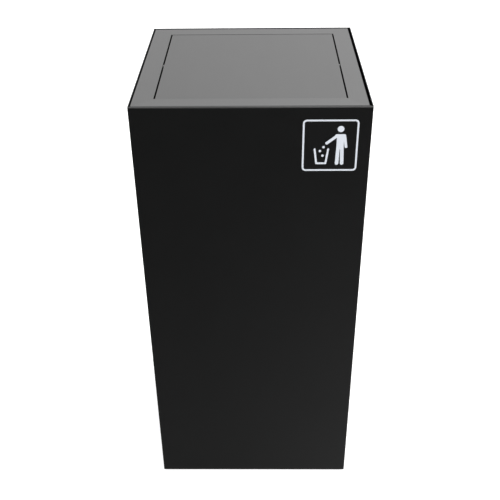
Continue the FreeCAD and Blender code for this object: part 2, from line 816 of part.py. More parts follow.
def make_pivots():
    """On each side: an ear and bush on the top, and a lug, pin, washer and clip on the flap."""
    washers = []
    clips = []
    ear_span = (pivot_y - S.ear_length / 2, pivot_y + S.ear_length / 2)
    for name, side in SIDES.items():
        ear_in = half_opening + S.ear_gap
        ear_out = ear_in + S.ear_sheet
        leg_z = top_under - S.ear_sheet
        ear_edges = [flap_mid + ear_in * side, top_under, flap_mid + (ear_in + S.ear_leg) * side, leg_z,
                     flap_mid + ear_out * side, top_under - S.ear_depth]
        ear = folded(f"ear_{name}", "XZ", ear_span, (ear_edges, {0: S.inside_bend}))
        bush_radius = S.pin_radius + S.running_gap + S.bush_wall
        ear_hole = rod(f"ear_hole_{name}", bush_radius,
                       (flap_mid + ear_in * side, flap_mid + ear_out * side), pivot_y, pivot_z)
        node(f"pivot_bracket_{name}", cut(f"bracket_{name}", ear, ear_hole))

        flange_out = ear_out + S.bush_flange
        sleeve = rod(f"bush_sleeve_{name}", bush_radius,
                     (flap_mid + ear_in * side, flap_mid + flange_out * side), pivot_y, pivot_z)
        flange = rod(f"bush_rim_{name}", S.bush_flange_radius,
                     (flap_mid + ear_out * side, flap_mid + flange_out * side), pivot_y, pivot_z)
        bore = rod(f"bush_bore_{name}", S.pin_radius + S.running_gap,
                   (flap_mid + ear_in * side, flap_mid + flange_out * side), pivot_y, pivot_z)
        node(f"pivot_bush_{name}", cut(f"bush_{name}", fuse(f"bush_body_{name}", sleeve, flange), bore))

        lug_in = half_flap - S.ear_sheet
        leg_under = flap_under - S.ear_sheet
        lug_edges = [flap_mid + half_flap * side, flap_under, flap_mid + (half_flap - S.ear_leg) * side,
                     leg_under, flap_mid + lug_in * side, flap_under - S.lug_depth]
        lug = folded(f"lug_{name}", "XZ", ear_span, (lug_edges, {0: S.inside_bend}))
        lug_hole = rod(f"lug_hole_{name}", S.pin_radius,
                       (flap_mid + lug_in * side, flap_mid + half_flap * side), pivot_y, pivot_z)
        node(f"pivot_lug_{name}", cut(f"drilled_lug_{name}", lug, lug_hole))

        clip_in = flange_out + S.side_play
        clip_out = clip_in + S.clip_sheet
        shank = rod(f"pin_shank_{name}", S.pin_radius,
                    (flap_mid + lug_in * side, flap_mid + (clip_out + S.pin_tail) * side), pivot_y, pivot_z)
        head = rod(f"pin_cap_{name}", S.pin_head_radius,
                   (flap_mid + (lug_in - S.pin_head) * side, flap_mid + lug_in * side), pivot_y, pivot_z)
        node(f"pivot_pin_{name}", fuse(f"pin_{name}", shank, head))

        washer_limits = (flap_mid + half_flap * side,
                         flap_mid + (half_opening - S.side_play) * side)
        disc = rod(f"washer_disc_{name}", S.washer_radius, washer_limits, pivot_y, pivot_z)
        eye = rod(f"washer_eye_{name}", S.pin_radius, washer_limits, pivot_y, pivot_z)
        washers.append(cut(f"washer_{name}", disc, eye))
        clip_limits = (flap_mid + clip_in * side, flap_mid + clip_out * side)
        plate = rod(f"clip_disc_{name}", S.clip_radius, clip_limits, pivot_y, pivot_z)
        hole = rod(f"clip_eye_{name}", S.pin_radius, clip_limits, pivot_y, pivot_z)
        clips.append(cut(f"clip_{name}", plate, hole))
    node("pivot_washers", group("pivot_washers", washers))
    node("pin_clips", group("pin_clips", clips))


def make_flap():
    """The flat flap, its two stiffeners and the weight that shuts it."""
    node("flap_panel", block("flap_plate", (flap_mid - half_flap, flap_mid + half_flap),
                             (flap_front, flap_rear), (flap_under, flap_top)))
    half = half_flap - S.stiffener_inset
    for name, end in ENDS.items():
        far = (flap_front if name == "front" else flap_rear) - S.stiffener_setback * end
        near = far - S.stiffener_leg * end
        edges = [near, flap_under, far, flap_under - S.stiffener_sheet,
                 near + S.stiffener_sheet * end, flap_under - S.stiffener_leg]
        node(f"flap_stiffener_{name}",
             folded(f"stiffener_{name}", "YZ", (flap_mid - half, flap_mid + half),
                    (edges, {0: S.inside_bend})))

    near = pivot_y + S.hanger_offset
    face = near + S.stiffener_sheet
    edges = [near, flap_under, near + S.hanger_leg, flap_under - S.stiffener_sheet, face,
             flap_under - S.hanger_depth]
    half = half_flap - S.weight_inset
    hanger = folded("hanger_angle", "YZ", (flap_mid - half, flap_mid + half), (edges, {0: S.inside_bend}))
    low = flap_under - S.hanger_depth
    bar = block("weight_bar", (flap_mid - half, flap_mid + half), (face, face + S.weight_side),
                (low, low + S.weight_side))
    mid_z = low + S.weight_side / 2
    hanger_holes = []
    bar_holes = []
    screws = []
    depth = S.weight_screw_depth
    for name, side in SIDES.items():
        x = flap_mid + (half - S.weight_screw_inset) * side
        hanger_holes.append(rod(f"hanger_hole_{name}", S.weight_screw_radius, x, (near, face), mid_z))
        bar_holes.append(rod(f"bar_hole_{name}", S.weight_screw_radius, x, (face, face + depth), mid_z))
        shank = rod(f"weight_shank_{name}", S.weight_screw_radius, x, (near, face + depth), mid_z)
        head = dome(f"weight_head_{name}", S.weight_screw_head_radius, S.weight_screw_head,
                    (x, near, mid_z), "-y")
        screws.append(fuse(f"weight_screw_{name}", shank, head))
    node("weight_hanger", cut("hanger", hanger, *hanger_holes))
    node("counterweight", cut("weight", bar, *bar_holes))
    node("weight_screws", group("weight_screws", screws))


def make_flap_stop():
    """A joggled rail under the back bar, with the rubber bumpers that the flap rests on."""
    back = opening_rear + S.stop_setback
    tread = flap_under - S.bumper_height
    tip = opening_rear - S.stop_reach
    edges = [tip, tread - S.stop_sheet, back + S.stop_sheet, top_under - S.stop_sheet,
             back + S.stop_seat, top_under, back, tread]
    half = half_opening - S.stop_inset
    node("flap_stop", folded("stop_rail", "YZ", (flap_mid - half, flap_mid + half), (edges, {})))
    bumpers = []
    for name, side in SIDES.items():
        mid = flap_mid + (half - S.bumper_inset) * side
        bumpers.append(block(f"bumper_{name}", (mid - S.bumper_length / 2, mid + S.bumper_length / 2),
                             (tip + S.stop_sheet, tip + S.stop_sheet + S.bumper_depth),
                             (tread, flap_under)))
    node("flap_bumpers", group("flap_bumpers", bumpers))


# ---------------------------------------------------------------- liner

def rim_edges(outer, inner, way):
    """The profile of the rim: a channel folded down over the walls' upper edge."""
    low = liner_rim_z - S.rim_leg
    return [outer, liner_rim_z, inner, low, inner + S.rim_sheet * way, liner_rim_z - S.rim_sheet,
            outer - S.rim_sheet * way, low]


def make_liner():
    """The lift-out liner: two flat walls, two folded ones, a floor tray and the rim."""
    span = (liner_floor_z, liner_rim_z - S.rim_sheet)
    across = liner_inside - S.rim_sheet
    for name, end in ENDS.items():
        through = ((half_liner_depth - S.liner_sheet) * end, liner_inside_depth * end)
        node(f"liner_wall_{name}", block(f"wall_{name}", (-across, across), through, span))
    tip = half_liner - S.liner_return
    turned = half_liner_depth - S.liner_sheet
    inner_bend = S.liner_bend - S.liner_sheet
    bends = {0: S.liner_bend, 7: S.liner_bend, 3: inner_bend, 4: inner_bend}
    sides = {}
    for name, side in SIDES.items():
        edges = [half_liner * side, half_liner_depth, tip * side, turned,
                 liner_inside * side, -turned, tip * side, -half_liner_depth]
        sides[name] = folded(f"side_wall_{name}", "XY", span, (edges, bends))
    tray = folded("tray_skin", "XY", (liner_floor_z, liner_floor_z + S.liner_tray),
                  rectangle(liner_inside, liner_inside_depth, S.tray_corner))
    hollow = folded("tray_hollow", "XY", (liner_floor_z + S.liner_sheet, liner_floor_z + S.liner_tray),
                    rectangle(liner_inside - S.liner_sheet, liner_inside_depth - S.liner_sheet,
                              S.tray_corner - S.liner_sheet))
    node("liner_floor", cut("liner_tray", tray, hollow))
    out_x = half_liner + S.rim_sheet
    out_y = half_liner_depth + S.rim_sheet
    in_x = liner_inside - S.rim_sheet
    in_y = liner_inside_depth - S.rim_sheet
    mitred_frame("liner_rim", (-out_x, -out_y, out_x, out_y), (-in_x, -in_y, in_x, in_y),
                 (liner_rim_z - S.rim_leg, liner_rim_z), rim_edges, {})
    make_handles(sides)


def make_handles(walls):
    """A riveted plate with two ears, a wire loop and its grip, on both side walls."""
    rivets = []
    half = S.plate_width / 2
    half_inside = half - S.plate_sheet
    for name, side in SIDES.items():
        back = liner_inside * side
        face = (liner_inside - S.plate_sheet) * side
        tip = (liner_inside - S.plate_sheet - S.plate_ear) * side
        edges = [back, half, tip, half_inside, face, -half_inside, tip, -half]
        plate = folded(f"plate_{name}", "XY", (plate_low, plate_low + S.plate_height), (edges, {}))
        x = wire_x * side
        holes = [rod(f"plate_bore_{name}", S.wire_radius + S.wire_gap, x, (-half, half), wire_z)]
        wall_holes = []
        for place, end in ENDS.items():
            y = S.plate_rivet_spacing / 2 * end
            label = f"{name}_{place}"
            outer = half_liner * side
            holes.append(rod(f"plate_hole_{label}", S.plate_rivet_radius, (face, back), y, wire_z))
            wall_holes.append(rod(f"wall_hole_{label}", S.plate_rivet_radius, (back, outer), y, wire_z))
            shank = rod(f"plate_shank_{label}", S.plate_rivet_radius, (face, outer), y, wire_z)
            inner_head = dome(f"plate_head_{label}", S.plate_rivet_head, S.plate_rivet_height,
                              (face, y, wire_z), "-x" if side == RIGHT else "x")
            outer_head = dome(f"plate_tail_{label}", S.plate_rivet_head, S.plate_rivet_height,
                              (outer, y, wire_z), "x" if side == RIGHT else "-x")
            rivets.append(fuse(f"plate_rivet_{label}", shank, inner_head, outer_head))
        node(f"handle_plate_{name}", cut(f"drilled_plate_{name}", plate, *holes))
        node(f"liner_wall_{name}", cut(f"drilled_wall_{name}", walls[name], *wall_holes))
        make_loop(name, x)
    node("handle_rivets", group("handle_rivets", rivets))


def make_loop(name, x):
    """The wire loop that hangs from the plate's ears, with a moulded grip on it."""
    tail = S.plate_width / 2 + S.wire_tail
    leg = S.plate_width / 2 - S.plate_sheet - S.wire_leg_gap - S.wire_bend
    body = DOC.addObject("PartDesign::Body", f"loop_{name}")
    path = new_sketch(body, f"loop_path_{name}", "YZ", x)
    bends = {index: S.wire_bend for index in range(4)}
    draw_square_turns(path, [wire_z, -leg, grip_z, leg, wire_z], bends, "along", (-tail, tail))
    end = new_sketch(body, f"loop_end_{name}", "XZ", tail)
    circle = end.addGeometry(Part.Circle(Vector(x.value, wire_z.value, 0), Vector(0, 0, 1),
                                         S.wire_radius.value), False)
    hold(end, "DistanceX", (circle, 3), x)
    hold(end, "DistanceY", (circle, 3), wire_z)
    index = end.addConstraint(Sketcher.Constraint("Radius", circle, S.wire_radius.value))
    end.setExpression(f"Constraints[{index}]", S.wire_radius.text)
    pipe = body.newObject("PartDesign::AdditivePipe", f"loop_wire_{name}")
    pipe.Profile = end
    pipe.Spine = (path, [])
    body.Tip = pipe
    node(f"bail_{name}", body)
    half = S.grip_length / 2
    sleeve = rod(f"grip_sleeve_{name}", S.grip_radius, x, (-half, half), grip_z)
    bore = rod(f"grip_bore_{name}", S.wire_radius, x, (-half, half), grip_z)
    node(f"bail_grip_{name}", cut(f"grip_{name}", sleeve, bore))


# ---------------------------------------------------------------- build and write

def check_document():
    """Stops if an object failed, or a piece's shape is missing or not valid."""
    for thing in DOC.Objects:
        if "Invalid" in thing.State or "Error" in thing.State:
            raise RuntimeError(f"{thing.Label} failed: {thing.State}")
    for name, piece in NODES.items():
        shape = piece.Shape
        if shape.isNull() or not shape.isValid() or not shape.Solids:
            raise RuntimeError(f"{name} has no valid solid")


def write_parts():
    """Writes each piece to its own file."""
    os.makedirs("parts", exist_ok=True)
    for name, piece in NODES.items():
        piece.Shape.exportStep(f"parts/{name}.step")
        box = piece.Shape.BoundBox
        print(f"{name}: {len(piece.Shape.Solids)} solids, {piece.Shape.Volume:.0f} mm3,",
              f"z {box.ZMin:.2f} to {box.ZMax:.2f}")


make_casing_wrap()
make_rear_panel()
make_base()
make_runners()
make_ledges()
make_sign()
make_top()
make_pivots()
make_flap()
make_flap_stop()
make_liner()
DOC.recompute()
check_document()
write_parts()
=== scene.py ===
import json
import math

import bpy
import numpy as np
from mathutils import Matrix, Vector


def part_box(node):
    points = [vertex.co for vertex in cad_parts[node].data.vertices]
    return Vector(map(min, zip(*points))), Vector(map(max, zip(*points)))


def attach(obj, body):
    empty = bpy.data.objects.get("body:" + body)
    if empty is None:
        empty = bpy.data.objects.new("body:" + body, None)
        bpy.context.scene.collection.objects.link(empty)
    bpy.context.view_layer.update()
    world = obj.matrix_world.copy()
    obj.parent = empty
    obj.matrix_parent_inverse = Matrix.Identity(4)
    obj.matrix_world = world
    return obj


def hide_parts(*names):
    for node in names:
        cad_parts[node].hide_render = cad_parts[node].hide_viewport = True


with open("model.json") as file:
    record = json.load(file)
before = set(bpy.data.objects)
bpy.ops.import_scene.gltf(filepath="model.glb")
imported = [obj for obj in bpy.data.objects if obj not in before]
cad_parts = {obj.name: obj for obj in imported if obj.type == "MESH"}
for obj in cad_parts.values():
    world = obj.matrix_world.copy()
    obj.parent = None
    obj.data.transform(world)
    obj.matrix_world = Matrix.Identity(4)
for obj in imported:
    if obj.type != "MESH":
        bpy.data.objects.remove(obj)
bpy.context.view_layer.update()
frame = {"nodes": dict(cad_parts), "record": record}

MM = 0.001
MICRON = 0.000001

# ---------------------------------------------------------------- shader maths


class Value:
    """A socket whose value varies over a surface, and that sums can be written with."""

    def __init__(self, tree, socket):
        self.tree = tree
        self.socket = socket

    def maths(self, operation, *terms):
        """A Math node that works on two values or numbers."""
        return self.tree.node("ShaderNodeMath", {"operation": operation}, dict(enumerate(terms)))

    def __add__(self, other):
        return self.maths("ADD", self, other)

    def __sub__(self, other):
        return self.maths("SUBTRACT", self, other)

    def __rsub__(self, other):
        return self.maths("SUBTRACT", other, self)

    def __mul__(self, other):
        return self.maths("MULTIPLY", self, other)

    __radd__ = __add__
    __rmul__ = __mul__


class Tree:
    """The node tree of a material or of the world, added to one node at a time."""

    def __init__(self, owner):
        owner.use_nodes = True
        self.nodes = owner.node_tree.nodes
        self.links = owner.node_tree.links
        self.nodes.clear()

    def node(self, kind, settings, sockets, output=0):
        """Adds one node: its settings first, then the values or links of its sockets."""
        made = self.nodes.new(kind)
        for name, setting in settings.items():
            setattr(made, name, setting)
        for name, value in sockets.items():
            if isinstance(value, Value):
                self.links.new(value.socket, made.inputs[name])
            else:
                made.inputs[name].default_value = value
        return Value(self, made.outputs[output])

    def smooth_step(self, value, low, high):
        """0 below low, 1 above high, and a soft rise between them."""
        return self.node("ShaderNodeMapRange", {"interpolation_type": "SMOOTHSTEP"},
                         {"Value": value, "From Min": low, "From Max": high})

    def part_of(self, vector, axis):
        """One of the three numbers of a vector."""
        return self.node("ShaderNodeSeparateXYZ", {}, {0: vector}, output=axis)

    def end(self, kind, shader):
        """Joins the shader to the output node of a material or of the world."""
        made = self.nodes.new(kind)
        self.links.new(shader.socket, made.inputs["Surface"])


class Finish(Tree):
    """A material with one Principled shader, patterned in the object's own coordinates."""

    def __init__(self, name):
        self.material = bpy.data.materials.new(name)
        super().__init__(self.material)
        self.place = self.node("ShaderNodeTexCoord", {}, {}, output="Object")

    def stretched(self, scale):
        """The coordinates scaled along each axis: a pattern runs along the smallest scale."""
        return self.node("ShaderNodeVectorMath", {"operation": "MULTIPLY"},
                         {0: self.place, 1: scale})

    def noise(self, size, detail=2.0, place=None, output="Fac"):
        """Soft blotches of about one size in metres, from 0 to 1."""
        return self.node("ShaderNodeTexNoise", {},
                         {"Vector": place or self.place, "Scale": 1.0 / size, "Detail": detail},
                         output)

    def cells(self, size, place=None):
        """Flat grains of about one size in metres, each with its own number from 0 to 1."""
        colour = self.node("ShaderNodeTexVoronoi", {},
                           {"Vector": place or self.place, "Scale": 1.0 / size}, output="Color")
        return self.part_of(colour, 0)

    def mix(self, mask, low, high):
        """The low colour where the mask is 0 and the high one where it is 1."""
        return self.node("ShaderNodeMix", {"data_type": "RGBA"}, {0: mask, 6: low, 7: high},
                         output=2)

    def relief(self, height, depth, edge=0.3 * MM):
        """A bump of a depth in metres over edges that are rounded by a small radius."""
        rounded = self.node("ShaderNodeBevel", {"samples": 4}, {"Radius": edge})
        return self.node("ShaderNodeBump", {},
                         {"Height": height, "Distance": depth, "Normal": rounded})

    def shade(self, colour, roughness, normal, **constants):
        """Joins the three varying values to the shader and sets the constant ones."""
        sockets = {"Base Color": colour, "Roughness": roughness, "Normal": normal}
        sockets.update({name.replace("_", " "): value for name, value in constants.items()})
        self.end("ShaderNodeOutputMaterial", self.node("ShaderNodeBsdfPrincipled", {}, sockets))
        return self.material


def grey(level, warmth=0.0):
    """A grey of one level, warmer in its red and cooler in its blue by a fraction."""
    return (level * (1.0 + warmth), level, level * (1.0 - warmth), 1.0)


# ---------------------------------------------------------------- finishes

BLACK = 0.0046
COAT_GRAIN = 0.42 * MM
COAT_PEEL = 2.4 * MM
COAT_SPECK = 1.1 * MM
COAT_SMEAR = 38.0 * MM
COAT_CLOUD = 110.0 * MM
ALONG_X = (0.04, 1.0, 1.0)
ALONG_Y = (1.0, 0.04, 1.0)


def powder_coat(name, roughness=0.3, grain_depth=5.0 * MICRON, peel_depth=9.0 * MICRON,
                gloss=0.5):
    """Black baked powder: a fine grain, a slight orange peel, pin specks and soft clouds.

    The height is grain and peel, each in its share of the whole depth. The black drifts with
    the clouds, and the roughness with the grain and with smears left by wiping.
    """
    coat = Finish(name)
    cloud = coat.noise(COAT_CLOUD, detail=3.0)
    grain = coat.noise(COAT_GRAIN)
    peel = coat.noise(COAT_PEEL, detail=1.0)
    speck = coat.smooth_step(coat.noise(COAT_SPECK, detail=1.0), 0.69, 0.75)
    smear = coat.noise(COAT_SMEAR, detail=4.0, place=coat.stretched((1.0, 0.35, 1.0)))
    tone = coat.mix(cloud, grey(BLACK * 0.9), grey(BLACK * 1.12, -0.02))
    colour = coat.mix(speck * 0.35, tone, grey(BLACK * 3.0))
    rough = roughness - 0.03 + 0.05 * smear + 0.05 * (grain - 0.5)
    depth = grain_depth + peel_depth
    height = grain * (grain_depth / depth) + peel * (peel_depth / depth)
    return coat.shade(colour, rough, coat.relief(height, depth), Specular_IOR_Level=gloss)


def galvanised_sheet():
    """Zinc on steel: flat crystals of two sizes, each with its own sheen, under a dull bloom.

    The cells are bent by a soft wander. Each crystal's own number sets its grey, its roughness
    and half of its height, and a fine grain gives the other half.
    """
    zinc = Finish("galvanised_sheet")
    waves_per_metre = 90.0
    wander = zinc.noise(1.0 / waves_per_metre, output="Color")
    bent = zinc.node("ShaderNodeVectorMath", {"operation": "MULTIPLY_ADD"},
                     {0: wander, 1: (4.0 * MM,) * 3, 2: zinc.place})
    crystal = zinc.cells(9.0 * MM, bent)
    needle = zinc.cells(2.6 * MM, bent)
    bloom = zinc.noise(60.0 * MM, detail=4.0)
    spangle = 0.65 * crystal + 0.35 * needle
    tone = zinc.mix(spangle, grey(0.56, -0.03), grey(0.76, -0.02))
    colour = zinc.mix(zinc.smooth_step(bloom, 0.5, 0.75) * 0.4, tone, grey(0.62, 0.01))
    rough = 0.34 + 0.12 * spangle + 0.12 * bloom
    height = spangle * 0.5 + zinc.noise(0.8 * MM) * 0.5
    return zinc.shade(colour, rough, zinc.relief(height, 5.0 * MICRON), Metallic=0.72)


def zinc_plate(name, level, warmth, along, roughness):
    """Bright plated steel with fine drawing lines along one axis and a faint tarnish."""
    plate = Finish(name)
    lines = plate.noise(0.35 * MM, place=plate.stretched(along))
    tarnish = plate.smooth_step(plate.noise(7.0 * MM, detail=4.0), 0.45, 0.7)
    bright = plate.mix(lines, grey(level * 0.86, warmth), grey(level * 1.08, warmth))
    colour = plate.mix(tarnish * 0.5, bright, grey(level * 0.72, 0.06))
    rough = roughness + 0.1 * lines + 0.12 * tarnish
    return plate.shade(colour, rough, plate.relief(lines, 4.0 * MICRON, edge=0.2 * MM),
                       Metallic=1.0)


def moulded(name, level, roughness, grain_size, grain_depth, dust):
    """A moulded piece: fine pitted skin, with pale dust held where the blotches are high."""
    skin = Finish(name)
    pits = skin.cells(grain_size)
    blotch = skin.noise(14.0 * MM, detail=4.0)
    held = skin.smooth_step(blotch, 0.45, 0.75) * dust
    colour = skin.mix(held, grey(level), grey(level * 0.6 + 0.12, 0.05))
    rough = roughness + 0.08 * blotch
    height = 0.6 * pits + 0.4 * skin.noise(grain_size * 3.0)
    return skin.shade(colour, rough, skin.relief(height, grain_depth, edge=0.4 * MM))


def white_film():
    """White vinyl film: an even satin skin with a very faint print grain and handling marks."""
    film = Finish("sign_film")
    grain = film.noise(0.5 * MM, detail=3.0)
    mark = film.smooth_step(film.noise(9.0 * MM, detail=4.0), 0.5, 0.72)
    fresh = film.mix(grain, (0.52, 0.55, 0.6, 1.0), (0.56, 0.59, 0.64, 1.0))
    colour = film.mix(mark * 0.3, fresh, (0.48, 0.51, 0.56, 1.0))
    rough = 0.34 + 0.1 * mark
    return film.shade(colour, rough, film.relief(grain, 2.0 * MICRON, edge=0.06 * MM))


def turned_aluminium():
    """Plain rivet aluminium: bright, softly hammered by the setting tool."""
    metal = Finish("plain_rivet")
    hammered = metal.noise(1.3 * MM)
    scratch = metal.noise(0.25 * MM, place=metal.stretched((1.0, 0.2, 1.0)))
    colour = metal.mix(scratch, grey(0.6), grey(0.78))
    rough = 0.26 + 0.16 * scratch
    return metal.shade(colour, rough, metal.relief(hammered, 12.0 * MICRON, edge=0.2 * MM),
                       Metallic=1.0)


def drawn_bar():
    """A bright drawn steel bar under a film of oil, with small brown blooms."""
    bar = Finish("weight_steel")
    lines = bar.noise(0.5 * MM, place=bar.stretched((0.03, 1.0, 1.0)))
    bloom = bar.smooth_step(bar.noise(5.0 * MM, detail=5.0), 0.56, 0.7)
    steel = bar.mix(lines, grey(0.3), grey(0.45))
    colour = bar.mix(bloom * 0.7, steel, (0.16, 0.085, 0.045, 1.0))
    rough = 0.28 + 0.14 * lines + 0.3 * bloom
    return bar.shade(colour, rough, bar.relief(lines, 6.0 * MICRON, edge=0.4 * MM), Metallic=0.9)


FINISHES = {
    "casing_paint": powder_coat("casing_paint"),
    "top_paint": powder_coat("top_paint"),
    "front_bar_paint": powder_coat("front_bar_paint", gloss=0.53),
    "flap_paint": powder_coat("flap_paint", gloss=0.43),
    "bracket_paint": powder_coat("bracket_paint", 0.4, 9.0 * MICRON, 14.0 * MICRON),
    "black_fitting": powder_coat("black_fitting", 0.34, 6.0 * MICRON, 12.0 * MICRON),
    "sign_film": white_film(),
    "rubber": moulded("rubber", 0.018, 0.72, 0.5 * MM, 22.0 * MICRON, dust=0.35),
    "bush_nylon": moulded("bush_nylon", 0.72, 0.42, 0.7 * MM, 8.0 * MICRON, dust=0.2),
    "grip_plastic": moulded("grip_plastic", 0.022, 0.45, 0.6 * MM, 16.0 * MICRON, dust=0.12),
    "galvanised_sheet": galvanised_sheet(),
    "handle_wire": zinc_plate("handle_wire", 0.62, 0.01, ALONG_Y, 0.24),
    "plain_rivet": turned_aluminium(),
    "weight_steel": drawn_bar(),
    "zinc_hardware": zinc_plate("zinc_hardware", 0.64, 0.03, ALONG_X, 0.22),
}


def paint_nodes():
    """Gives every carried-over node the finish of its slot, and the top's front bar its own."""
    for row in frame["record"]["subparts"]:
        finish = "front_bar_paint" if row["node"] == "top_bar_front" else row["material_slot"]
        mesh = frame["nodes"][row["node"]].data
        mesh.materials.clear()
        mesh.materials.append(FINISHES[finish])


# ---------------------------------------------------------------- worked surfaces

# A form is a set of points with the quads and the triangles that join them.
SHARP_ANGLE = 50.0


def band_faces(rows, columns, closed):
    """Quads between neighbouring rows of a grid whose columns close into a ring.

    With closed true, the last row joins the first as well.
    """
    last = rows if closed else rows - 1
    row, column = np.meshgrid(np.arange(last), np.arange(columns), indexing="ij")
    after = (column + 1) % columns
    above = (row + 1) % rows
    corners = [row * columns + column, row * columns + after,
               above * columns + after, above * columns + column]
    return np.stack(corners, axis=-1).reshape(-1, 4)


def cap_faces(first, count, pole, upper):
    """Triangles that close a ring of points onto its pole, facing up or down."""
    here = first + np.arange(count)
    after = first + (np.arange(count) + 1) % count
    pair = [here, after] if upper else [after, here]
    return np.stack([np.full(count, pole)] + pair, axis=-1)


def capped(grid, poles):
    """The form of a grid of rings, whose first and last rows close onto the two poles."""
    rows, columns = grid.shape[:2]
    count = rows * columns
    caps = [cap_faces(0, columns, count, upper=False),
            cap_faces(count - columns, columns, count + 1, upper=True)]
    points = np.concatenate([grid.reshape(-1, 3), poles])
    return points, band_faces(rows, columns, closed=False), np.concatenate(caps)


def turned(profile, segments, closed=False):
    """A profile of radius and height carried once round the upright axis.

    Each point is the radius times the cosine and the sine of the angle, at its height. A
    closed profile is a loop and gives a ring with a bore. An open one runs from the low pole
    to the high pole, and its two ends lie on the axis.
    """
    radius, height = np.array(profile, float).T
    angle = np.arange(segments) * (2.0 * np.pi / segments)
    inner = slice(None) if closed else slice(1, -1)
    across = radius[inner, None]
    up = height[inner, None] + 0.0 * angle
    grid = np.stack([across * np.cos(angle), across * np.sin(angle), up], axis=-1)
    if closed:
        no_triangles = np.zeros((0, 3), int)
        return grid.reshape(-1, 3), band_faces(len(radius), segments, closed=True), no_triangles
    return capped(grid, np.array([(0.0, 0.0, height[0]), (0.0, 0.0, height[-1])]))


def bead(length, width, height):
    """A weld bead along X: a flat oval section, swollen by overlapping ripples.

    The section shrinks to a pole at both ends by the root of 1 - t^8. A ripple adds its share
    of the absolute sine along the bead. The lower half is only a fifth as deep, because it is
    melted into the sheet.
    """
    rows = int(length / BEAD_STEP)
    along = (np.arange(rows) + 0.5) / rows * 2.0 - 1.0
    ripple = BEAD_SWELL * np.abs(np.sin(along * length / BEAD_RIPPLE * np.pi))
    swell = np.sqrt(1.0 - along ** 8) * (1.0 + ripple)
    angle = np.arange(BEAD_SIDES) * (2.0 * np.pi / BEAD_SIDES)
    across = np.cos(angle) * width / 2.0
    up = np.sin(angle) * height
    up = np.where(up < 0.0, up * BEAD_SUNK, up)
    grid = np.stack([along[:, None] * length / 2.0 + 0.0 * angle,
                     swell[:, None] * across, swell[:, None] * up], axis=-1)
    return capped(grid, np.array([(-length / 2.0, 0.0, 0.0), (length / 2.0, 0.0, 0.0)]))


def stood(form, place, out, along):
    """The form moved to a place: its Z turned to the way out and its X to the way along."""
    points, quads, triangles = form
    out = np.array(out, float) / np.linalg.norm(out)
    along = np.array(along, float) - out * np.dot(out, along)
    along = along / np.linalg.norm(along)
    turn = np.stack([along, np.cross(out, along), out])
    return points @ turn + np.array(place, float), quads, triangles


def add(name, forms, body, slot, *replaced):
    """Joins forms into one piece, which rides on a body and takes the finish of a slot."""
    points, quads, triangles = zip(*forms)
    starts = np.cumsum([0] + [len(part) for part in points[:-1]])
    faces = []
    for group in (quads, triangles):
        faces += np.concatenate([part + start for part, start in zip(group, starts)]).tolist()
    mesh = bpy.data.meshes.new(name)
    mesh.from_pydata(np.concatenate(points).tolist(), [], faces)
    mesh.shade_smooth()
    mesh.set_sharp_from_angle(angle=math.radians(SHARP_ANGLE))
    mesh.materials.append(FINISHES[slot])
    piece = bpy.data.objects.new(name, mesh)
    bpy.context.scene.collection.objects.link(piece)
    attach(piece, body)
    if replaced:
        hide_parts(*replaced)


# ---------------------------------------------------------------- welds

BEAD_STEP = 0.55 * MM
BEAD_RIPPLE = 2.2 * MM
BEAD_SWELL = 0.13
BEAD_SUNK = 0.2
BEAD_SIDES = 12
MITRE_BEAD = (3.6 * MM, 1.1 * MM)
STITCH_BEAD = (2.6 * MM, 0.9 * MM)
LUG_STITCH = 14.0 * MM
SPOT = [(0.0, -0.1 * MM), (3.0 * MM, -0.05 * MM), (2.9 * MM, 0.06 * MM), (2.5 * MM, 0.16 * MM),
        (2.0 * MM, 0.09 * MM), (1.0 * MM, 0.04 * MM), (0.0, 0.03 * MM)]
SPOT_SEGMENTS = 20
TOP_SHEET = 1.2 * MM
SIDES = {"left": -1.0, "right": 1.0}
ENDS = {"front": -1.0, "rear": 1.0}
ACROSS = (1.0, 0.0, 0.0)
BACK = (0.0, 1.0, 0.0)
UP = (0.0, 0.0, 1.0)
DOWN = (0.0, 0.0, -1.0)


def between(low, high, count):
    """Places spread evenly between two ends, which are left out."""
    return np.linspace(low, high, count + 2)[1:-1]


def spots(places, out, along):
    """Spot welds: shallow dished rings at each place."""
    form = turned(SPOT, SPOT_SEGMENTS)
    return [stood(form, place, out, along) for place in places]


def bead_between(start, end, out, size):
    """A bead of a width and a height from one point to another, on a surface that faces out."""
    start, end = np.array(start, float), np.array(end, float)
    form = bead(np.linalg.norm(end - start), *size)
    return stood(form, (start + end) / 2.0, out, end - start)


def stitches(y, z, stations, length, end):
    """Short beads along X, one at each station, where an edge at the front or rear meets z."""
    half = length / 2.0
    return [bead_between((x - half, y, z), (x + half, y, z), (0.0, end, -1.0), STITCH_BEAD)
            for x in stations]


def weld_liner():
    """Spot welds down the four laps of the liner's walls."""
    low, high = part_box("liner_wall_left")
    pitch, inset, count = 50.0 * MM, 22.0 * MM, 11
    levels = low.z + inset + pitch * np.arange(count)
    lap = (low.x + high.x) / 2.0
    forms = []
    for end in ENDS.values():
        for side in SIDES.values():
            forms += spots([(-lap * side, high.y * end, level) for level in levels],
                           (0.0, end, 0.0), UP)
    add("liner_spot_welds", forms, "liner", "galvanised_sheet")


def weld_ledges():
    """Two spot welds through the leg of each ledge."""
    leg, spacing = 1.5 * MM, 36.0 * MM
    forms = []
    for side_name, side in SIDES.items():
        for end_name in ENDS:
            low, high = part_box(f"lid_ledge_{side_name}_{end_name}")
            face = (low.x + leg) if side < 0.0 else (high.x - leg)
            middle = (low + high) / 2.0
            places = [(face, middle.y + spacing / 2.0 * end, middle.z - leg)
                      for end in ENDS.values()]
            forms += spots(places, (-side, 0.0, 0.0), BACK)
    add("ledge_spot_welds", forms, "casing", "bracket_paint")


